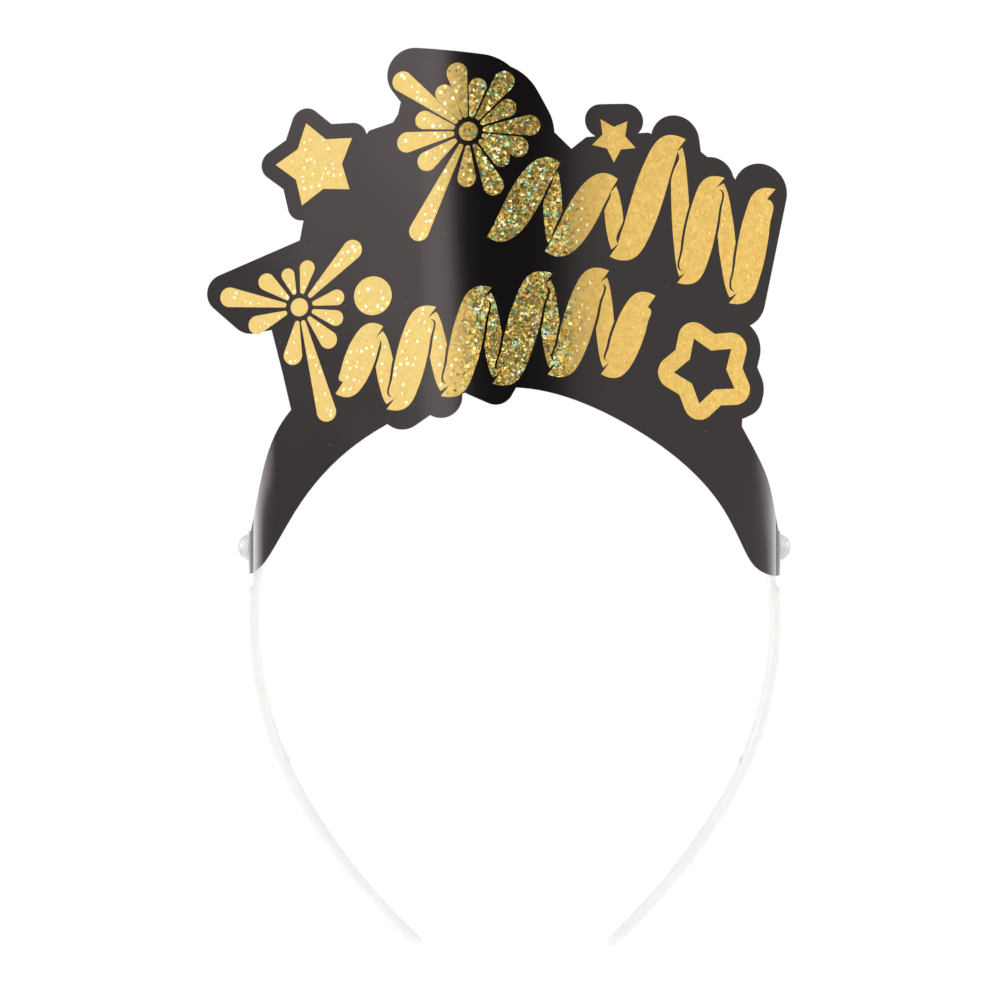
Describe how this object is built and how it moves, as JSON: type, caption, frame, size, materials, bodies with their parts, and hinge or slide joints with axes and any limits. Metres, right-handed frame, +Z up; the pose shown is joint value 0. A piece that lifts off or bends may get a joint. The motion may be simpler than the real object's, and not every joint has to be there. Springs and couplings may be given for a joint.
{
  "type": "party tiara headband",
  "caption": "Party headband: a flexible plastic hoop carries a bowed die-cut card sign with foil stars, fireworks and streamers, hinged on two side studs.",
  "frame": {"origin": "centre of the hoop's upper half circle, at the middle of the strip's width, where the head_clamp mount is", "axes": "+X to the right of someone facing the sign, along the studs' axis; +Y towards the back of the hoop, away from the sign; +Z up, towards the top of the hoop"},
  "size_m": [0.1447, 0.0521, 0.2181],
  "materials": {
    "hoop_plastic": "translucent white, satin",
    "stud_plastic": "clear frosted, gloss",
    "white_board": "uncoated white board",
    "black_film": "black gloss laminate",
    "gold_foil": "metallised gold glitter foil"
  },
  "bodies": {
    "hoop": {"headband": "hoop_plastic", "stud_left": "stud_plastic", "stud_right": "stud_plastic"},
    "sign": {"card_board": "white_board", "front_film": "black_film", "foil_star_solid": "gold_foil", "foil_star_small": "gold_foil", "foil_star_open": "gold_foil", "foil_confetti": "gold_foil", "foil_burst_upper": "gold_foil", "foil_burst_lower": "gold_foil", "foil_streamer_upper": "gold_foil", "foil_streamer_lower": "gold_foil"}
  },
  "joints": [
    {"name": "sign_tilt", "type": "hinge", "parent": "hoop", "child": "sign", "pos_m": [0, 0, 0.01775], "axis": [1, 0, 0], "range_deg": [-38, 20]}
  ]
}
